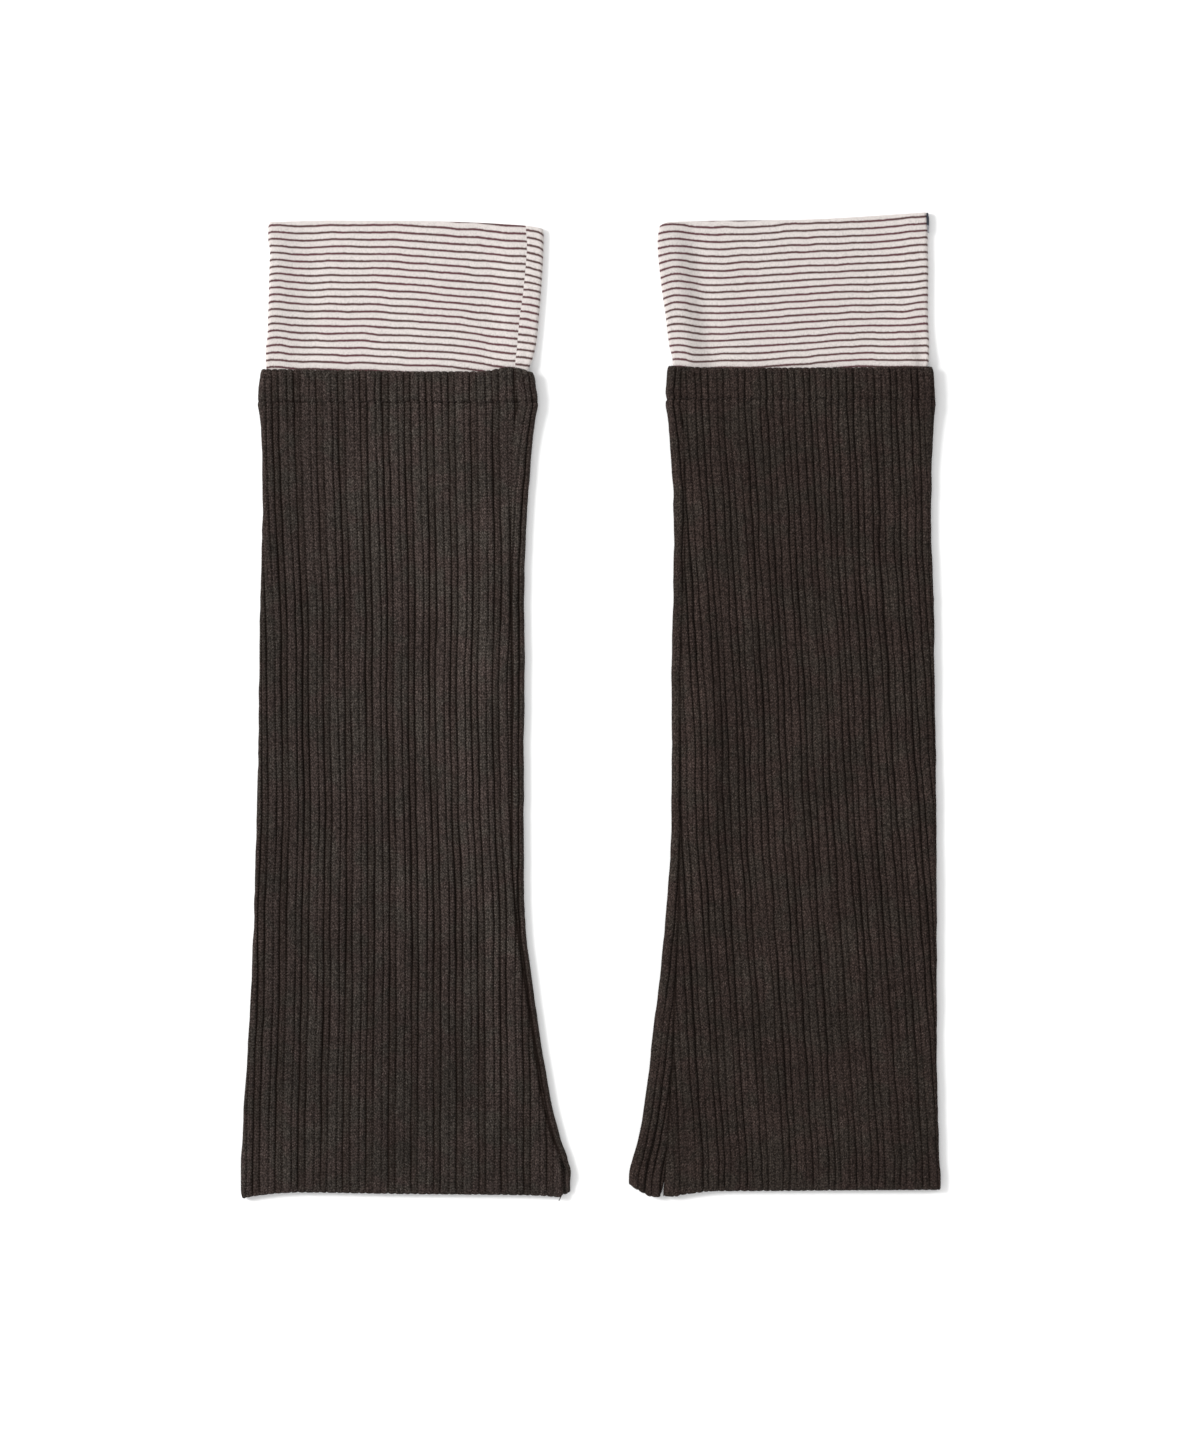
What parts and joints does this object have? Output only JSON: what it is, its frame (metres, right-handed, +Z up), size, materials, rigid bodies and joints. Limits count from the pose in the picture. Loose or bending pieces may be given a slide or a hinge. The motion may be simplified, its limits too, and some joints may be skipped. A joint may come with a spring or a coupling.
{
  "type": "pair of ribbed leg warmers",
  "caption": "Pair of long flared rib-knit tubes laid flat side by side, each with a doubled striped jersey cuff at the top and a short slit at the hem.",
  "frame": {"origin": "on the surface that the pair lies on, under the centre of the pair's outline", "axes": "+Y up the legs from the hems to the cuffs, +X from the left leg warmer to the right one, +Z up from the surface"},
  "size_m": [0.3498, 0.4931, 0.0074],
  "materials": {
    "left_rib_knit": "matte variegated rib knit, brown-charcoal",
    "right_rib_knit": "matte variegated rib knit, brown-charcoal, a little darker",
    "striped_jersey": "matte fine jersey, off-white with narrow maroon-brown stripes",
    "label_tape": "plain woven tape, dark navy"
  },
  "bodies": {
    "root": {"left_rib_tube": "left_rib_knit", "left_striped_cuff": "striped_jersey", "right_rib_tube": "right_rib_knit", "right_striped_cuff": "striped_jersey", "right_side_label": "label_tape"}
  },
  "joints": []
}
